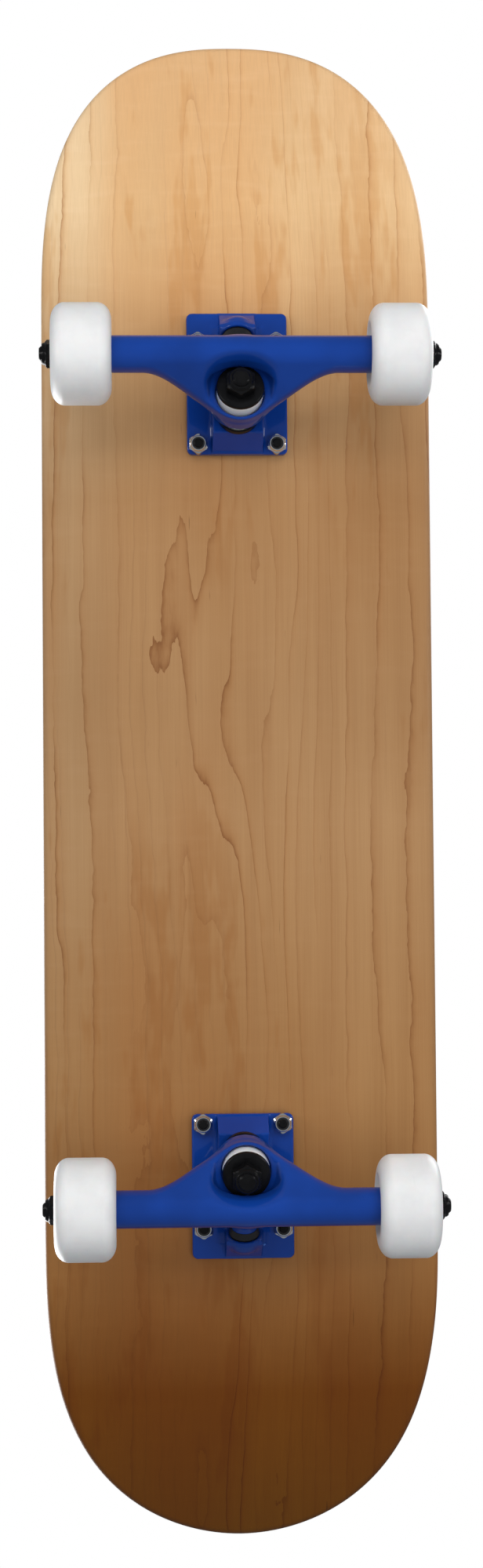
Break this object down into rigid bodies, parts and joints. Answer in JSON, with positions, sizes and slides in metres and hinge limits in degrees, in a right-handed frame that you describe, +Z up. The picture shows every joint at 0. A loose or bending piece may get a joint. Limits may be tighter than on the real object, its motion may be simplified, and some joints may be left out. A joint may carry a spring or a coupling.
{
  "type": "skateboard",
  "caption": "Skateboard with a maple deck, kicked nose and tail, grip tape, blue trucks that steer on bushings, and white free-rolling wheels.",
  "frame": {"origin": "on the ground, at the centre of the bottom of the bounding box", "axes": "+Z up, +Y towards the nose, +X towards the rider's right when facing the nose"},
  "size_m": [0.2064, 0.8102, 0.1407],
  "materials": {
    "maple": "clear satin lacquer over maple veneer",
    "grip": "coarse black grit",
    "blue_paint": "glossy blue paint over cast aluminium",
    "white_urethane": "smooth white urethane",
    "black_urethane": "satin black urethane",
    "black_steel": "black oxide",
    "zinc_steel": "bright zinc"
  },
  "bodies": {
    "board": {"deck": "maple", "grip_tape": "grip", "front_baseplate": "blue_paint", "front_pivot_cup": "black_urethane", "front_kingpin": "black_steel", "front_board_side_bushing": "white_urethane", "front_road_side_bushing": "white_urethane", "front_board_side_washer": "black_steel", "front_road_side_washer": "black_steel", "front_kingpin_nut": "black_steel", "rear_baseplate": "blue_paint", "rear_pivot_cup": "black_urethane", "rear_kingpin": "black_steel", "rear_board_side_bushing": "white_urethane", "rear_road_side_bushing": "white_urethane", "rear_board_side_washer": "black_steel", "rear_road_side_washer": "black_steel", "rear_kingpin_nut": "black_steel", "front_outer_right_bolt": "black_steel", "front_outer_right_nut": "zinc_steel", "front_outer_left_bolt": "black_steel", "front_outer_left_nut": "zinc_steel", "front_inner_right_bolt": "black_steel", "front_inner_right_nut": "zinc_steel", "front_inner_left_bolt": "black_steel", "front_inner_left_nut": "zinc_steel", "rear_outer_right_bolt": "black_steel", "rear_outer_right_nut": "zinc_steel", "rear_outer_left_bolt": "black_steel", "rear_outer_left_nut": "zinc_steel", "rear_inner_right_bolt": "black_steel", "rear_inner_right_nut": "zinc_steel", "rear_inner_left_bolt": "black_steel", "rear_inner_left_nut": "zinc_steel"},
    "front_hanger_assembly": {"front_hanger": "blue_paint", "front_axle": "black_steel", "front_left_speed_washer": "zinc_steel", "front_left_axle_nut": "black_steel", "front_right_speed_washer": "zinc_steel", "front_right_axle_nut": "black_steel"},
    "rear_hanger_assembly": {"rear_hanger": "blue_paint", "rear_axle": "black_steel", "rear_left_speed_washer": "zinc_steel", "rear_left_axle_nut": "black_steel", "rear_right_speed_washer": "zinc_steel", "rear_right_axle_nut": "black_steel"},
    "front_left_wheel_assembly": {"front_left_wheel": "white_urethane", "front_left_inner_bearing": "zinc_steel", "front_left_outer_bearing": "zinc_steel"},
    "front_right_wheel_assembly": {"front_right_wheel": "white_urethane", "front_right_inner_bearing": "zinc_steel", "front_right_outer_bearing": "zinc_steel"},
    "rear_left_wheel_assembly": {"rear_left_wheel": "white_urethane", "rear_left_inner_bearing": "zinc_steel", "rear_left_outer_bearing": "zinc_steel"},
    "rear_right_wheel_assembly": {"rear_right_wheel": "white_urethane", "rear_right_inner_bearing": "zinc_steel", "rear_right_outer_bearing": "zinc_steel"}
  },
  "joints": [
    {"name": "front_truck_steer", "type": "hinge", "parent": "board", "child": "front_hanger_assembly", "pos_m": [0, 0.19289, 0.044], "axis": [0, 0.8738, 0.4862], "range_deg": [-12, 12], "stiffness_Nm_per_rad": 40, "deforming": ["front_board_side_bushing", "front_road_side_bushing"]},
    {"name": "rear_truck_steer", "type": "hinge", "parent": "board", "child": "rear_hanger_assembly", "pos_m": [0, -0.19989, 0.044], "axis": [0, -0.8738, 0.4862], "range_deg": [-12, 12], "stiffness_Nm_per_rad": 40, "deforming": ["rear_board_side_bushing", "rear_road_side_bushing"]},
    {"name": "front_left_wheel_spin", "type": "hinge", "parent": "front_hanger_assembly", "child": "front_left_wheel_assembly", "pos_m": [0, 0.21279, 0.026], "axis": [1, 0, 0], "continuous": true},
    {"name": "front_right_wheel_spin", "type": "hinge", "parent": "front_hanger_assembly", "child": "front_right_wheel_assembly", "pos_m": [0, 0.21279, 0.026], "axis": [1, 0, 0], "continuous": true},
    {"name": "rear_left_wheel_spin", "type": "hinge", "parent": "rear_hanger_assembly", "child": "rear_left_wheel_assembly", "pos_m": [0, -0.21979, 0.026], "axis": [1, 0, 0], "continuous": true},
    {"name": "rear_right_wheel_spin", "type": "hinge", "parent": "rear_hanger_assembly", "child": "rear_right_wheel_assembly", "pos_m": [0, -0.21979, 0.026], "axis": [1, 0, 0], "continuous": true}
  ]
}
